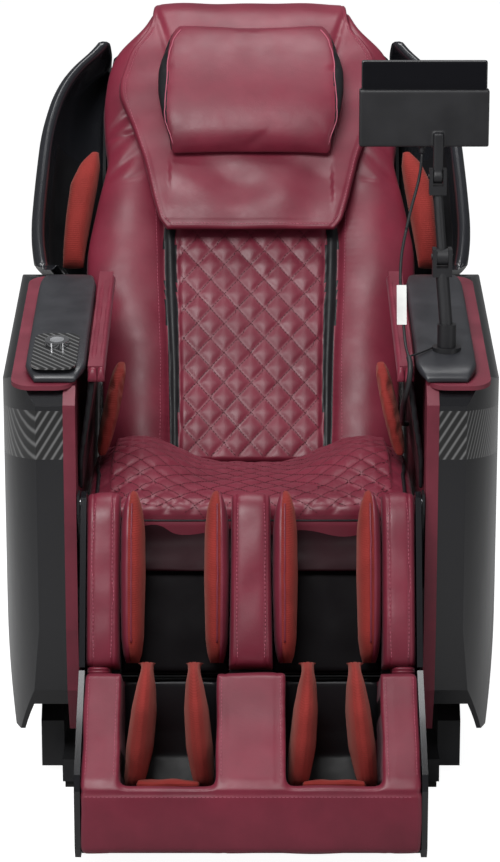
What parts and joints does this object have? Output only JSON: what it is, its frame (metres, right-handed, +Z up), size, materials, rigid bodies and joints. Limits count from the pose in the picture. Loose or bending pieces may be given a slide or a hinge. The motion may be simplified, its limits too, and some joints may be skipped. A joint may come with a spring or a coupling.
{
  "type": "full-body reclining massage chair",
  "caption": "Full-body massage chair with powered recline, seat tilt and leg rest, air-bag calf and foot wells, flip-back head pad, side wings and a tablet on a swivel arm.",
  "frame": {"origin": "on the floor, under the middle of the whole chair's length and width", "axes": "+Z up, the chair faces -Y, +X is the sitter's left"},
  "size_m": [0.862, 1.4701, 1.225],
  "materials": {
    "leather_red": "satin",
    "leather_black": "satin",
    "airbag_fabric": "matte",
    "shell_gloss": "gloss",
    "trim_satin": "satin",
    "trim_burgundy": "satin",
    "pad_satin": "satin",
    "carbon": "gloss",
    "plastic_black": "matte",
    "steel_black": "satin",
    "steel_bright": "satin",
    "silver": "satin",
    "chrome": "polished",
    "rubber": "matte",
    "screen": "gloss",
    "paper_tag": "matte"
  },
  "bodies": {
    "base": {"base_side_rails": "steel_black", "base_cross_tubes": "steel_black", "base_covers": "plastic_black", "base_feet": "rubber", "power_box": "plastic_black", "tilt_actuator": "plastic_black"},
    "tilt_rod": {"tilt_rod": "steel_bright"},
    "wheel_left": {"wheel_left": "rubber"},
    "wheel_right": {"wheel_right": "rubber"},
    "power_switch": {"power_switch": "plastic_black"},
    "seat": {"seat_side_rails": "steel_black", "seat_cross_tubes": "steel_black", "seat_cushion": "leather_red", "side_shell_left": "shell_gloss", "side_shell_right": "shell_gloss", "side_bands": "carbon", "arm_trims": "trim_burgundy", "arm_pad_left": "pad_satin", "arm_pad_right": "pad_satin", "arm_walls": "leather_black", "hip_airbags": "airbag_fabric", "control_panel": "carbon", "tablet_socket": "trim_satin", "recline_actuator": "plastic_black", "legrest_actuator": "plastic_black", "pivot_pins": "steel_bright", "cable_sleeve": "plastic_black", "cable_post": "plastic_black", "cable_lower": "plastic_black"},
    "recline_rod": {"recline_rod": "steel_bright"},
    "legrest_rod": {"legrest_rod": "steel_bright"},
    "dial_ring": {"dial_ring": "chrome"},
    "dial_button": {"dial_button": "silver"},
    "back": {"back_side_rails": "steel_black", "back_cross_tubes": "steel_black", "back_cushion": "leather_red", "back_cover": "shell_gloss", "wing_left": "shell_gloss", "wing_right": "shell_gloss", "shoulder_airbags": "airbag_fabric"},
    "head_flap": {"head_flap": "leather_red", "head_pillow": "leather_red"},
    "roller_carriage": {"roller_carriage": "steel_black"},
    "roller_arm_left": {"roller_arm_left": "silver"},
    "roller_arm_right": {"roller_arm_right": "silver"},
    "calf": {"calf_shell": "shell_gloss", "calf_frame": "steel_black", "calf_bolsters": "leather_red", "calf_airbags": "airbag_fabric"},
    "foot": {"foot_shell": "shell_gloss", "foot_rods": "steel_bright", "foot_cushion": "leather_red", "foot_airbags": "airbag_fabric"},
    "arm_post": {"arm_post": "plastic_black", "cable_middle": "plastic_black", "cable_tag": "paper_tag"},
    "arm_link": {"arm_link": "plastic_black", "cable_upper": "plastic_black"},
    "tablet_head": {"tablet_cradle": "plastic_black", "tablet": "screen"}
  },
  "joints": [
    {"name": "seat_tilt", "type": "hinge", "parent": "base", "child": "seat", "pos_m": [0, 0.08, 0.23], "axis": [-1, 0, 0], "range_deg": [0, 20]},
    {"name": "tilt_rod_slide", "type": "slide", "parent": "base", "child": "tilt_rod", "axis": [0, -1, 0], "range_m": [0, 0.0348]},
    {"name": "back_recline", "type": "hinge", "parent": "seat", "child": "back", "pos_m": [0, 0.155, 0.39], "axis": [-1, 0, 0], "range_deg": [0, 45]},
    {"name": "recline_rod_slide", "type": "slide", "parent": "seat", "child": "recline_rod", "axis": [0, -1, 0], "range_m": [0, 0.1149]},
    {"name": "legrest_lift", "type": "hinge", "parent": "seat", "child": "calf", "pos_m": [0, -0.4, 0.52], "axis": [-1, 0, 0], "range_deg": [0, 80]},
    {"name": "legrest_rod_slide", "type": "slide", "parent": "seat", "child": "legrest_rod", "axis": [0, -0.9151, 0.4033], "range_m": [0, 0.2478]},
    {"name": "foot_extend", "type": "slide", "parent": "calf", "child": "foot", "axis": [0, -0.4226, -0.9063], "range_m": [0, 0.12]},
    {"name": "head_flap_hinge", "type": "hinge", "parent": "back", "child": "head_flap", "pos_m": [0, 0.5427, 1.2066], "axis": [-1, 0, 0], "range_deg": [0, 100]},
    {"name": "roller_travel", "type": "slide", "parent": "back", "child": "roller_carriage", "axis": [0, 0.5299, 0.848], "range_m": [-0.15, 0.345]},
    {"name": "roller_knead_left", "type": "hinge", "parent": "roller_carriage", "child": "roller_arm_left", "pos_m": [0.062, 0.3638, 0.6487], "axis": [1, 0, 0], "range_deg": [-8, 8]},
    {"name": "roller_knead_right", "type": "hinge", "parent": "roller_carriage", "child": "roller_arm_right", "pos_m": [-0.062, 0.3638, 0.6487], "axis": [1, 0, 0], "range_deg": [-8, 8]},
    {"name": "dial_turn", "type": "hinge", "parent": "seat", "child": "dial_ring", "pos_m": [-0.322, -0.2827, 0.7562], "axis": [0, -0.1449, 0.9894], "continuous": true},
    {"name": "dial_press", "type": "slide", "parent": "seat", "child": "dial_button", "axis": [0, 0.1449, -0.9894], "range_m": [0, 0.002], "stiffness_N_per_m": 600},
    {"name": "tablet_swivel", "type": "hinge", "parent": "seat", "child": "arm_post", "pos_m": [0.324, -0.294, 0.758], "axis": [0, 0, 1], "range_deg": [-45, 45], "deforming": ["cable_lower"]},
    {"name": "tablet_elbow", "type": "hinge", "parent": "arm_post", "child": "arm_link", "pos_m": [0.316, -0.272, 0.905], "axis": [1, 0, 0], "range_deg": [-20, 20], "deforming": ["cable_middle"]},
    {"name": "tablet_tilt", "type": "hinge", "parent": "arm_link", "child": "tablet_head", "pos_m": [0.308, -0.251, 1.036], "axis": [1, 0, 0], "range_deg": [-25, 25], "deforming": ["cable_upper"]},
    {"name": "wheel_left_spin", "type": "hinge", "parent": "base", "child": "wheel_left", "pos_m": [0.3, 0.508, 0.034], "axis": [1, 0, 0], "continuous": true},
    {"name": "wheel_right_spin", "type": "hinge", "parent": "base", "child": "wheel_right", "pos_m": [-0.3, 0.508, 0.034], "axis": [1, 0, 0], "continuous": true},
    {"name": "power_switch_rock", "type": "hinge", "parent": "base", "child": "power_switch", "pos_m": [0.041, 0.465, 0.089], "axis": [1, 0, 0], "range_deg": [0, 16]}
  ],
  "couplings": [
    {"joint": "tilt_rod_slide", "follows": "seat_tilt", "m_per_rad": 0.0995},
    {"joint": "recline_rod_slide", "follows": "back_recline", "m_per_rad": 0.1462},
    {"joint": "legrest_rod_slide", "follows": "legrest_lift", "m_per_rad": 0.17747},
    {"joint": "roller_knead_right", "follows": "roller_knead_left", "ratio": -1}
  ]
}
